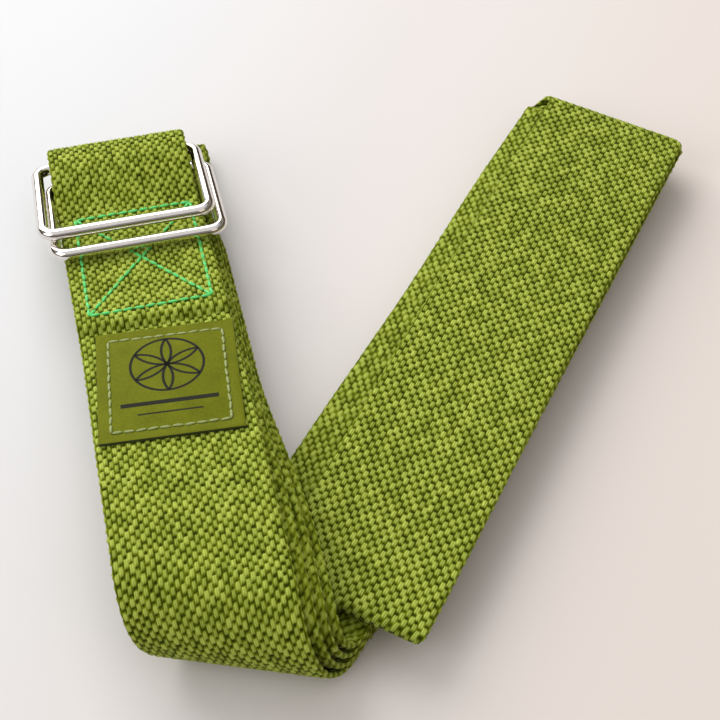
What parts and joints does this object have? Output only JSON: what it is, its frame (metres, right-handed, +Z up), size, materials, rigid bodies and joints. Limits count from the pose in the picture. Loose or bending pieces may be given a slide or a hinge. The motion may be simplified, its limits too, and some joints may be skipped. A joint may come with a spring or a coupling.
{
  "type": "stretching strap",
  "caption": "Long flat webbing strap folded into a V, with wire rings held in a sewn loop and a stitched label patch.",
  "frame": {"origin": "under the lowest layer of the right arm, where its centreline crosses the line on which the layers start to turn, on the surface that the strap lies on", "axes": "+Z up from the surface; +Y along the middle of the V, away from its point; +X towards the right arm"},
  "size_m": [0.1684, 0.1833, 0.0269],
  "materials": {
    "webbing": "matt heavy cotton weave",
    "ring_metal": "polished nickel",
    "label": "satin, lightly grained",
    "label_thread": "twisted thread",
    "loop_thread": "twisted thread"
  },
  "bodies": {
    "webbing": {"webbing_loop": "webbing", "webbing_left_1": "webbing", "webbing_turn_1": "webbing", "webbing_right_1": "webbing", "webbing_fold_lower": "webbing", "webbing_right_2": "webbing", "webbing_turn_2": "webbing", "webbing_left_2": "webbing", "webbing_fold_left": "webbing", "webbing_left_3": "webbing", "webbing_turn_3": "webbing", "webbing_right_3": "webbing", "webbing_fold_outer": "webbing", "webbing_right_6": "webbing", "webbing_fold_tucked": "webbing", "webbing_right_5": "webbing", "webbing_fold_inner": "webbing", "webbing_right_4": "webbing", "webbing_turn_4": "webbing", "webbing_left_4": "webbing", "label_patch": "label", "label_stitching": "label_thread", "loop_stitching": "loop_thread"},
    "upper_ring": {"ring_upper": "ring_metal"},
    "lower_ring": {"ring_lower": "ring_metal"}
  },
  "joints": [
    {"name": "upper_ring_swing", "type": "hinge", "parent": "webbing", "child": "upper_ring", "pos_m": [-0.06432, 0.12522, 0.01383], "axis": [-0.9336, -0.3584, 0], "range_deg": [0, 180]},
    {"name": "lower_ring_swing", "type": "hinge", "parent": "webbing", "child": "lower_ring", "pos_m": [-0.06046, 0.12129, 0.01146], "axis": [-0.9336, -0.3584, 0], "range_deg": [0, 99]}
  ],
  "couplings": [
    {"joint": "lower_ring_swing", "follows": "upper_ring_swing", "ratio": 0.55}
  ]
}
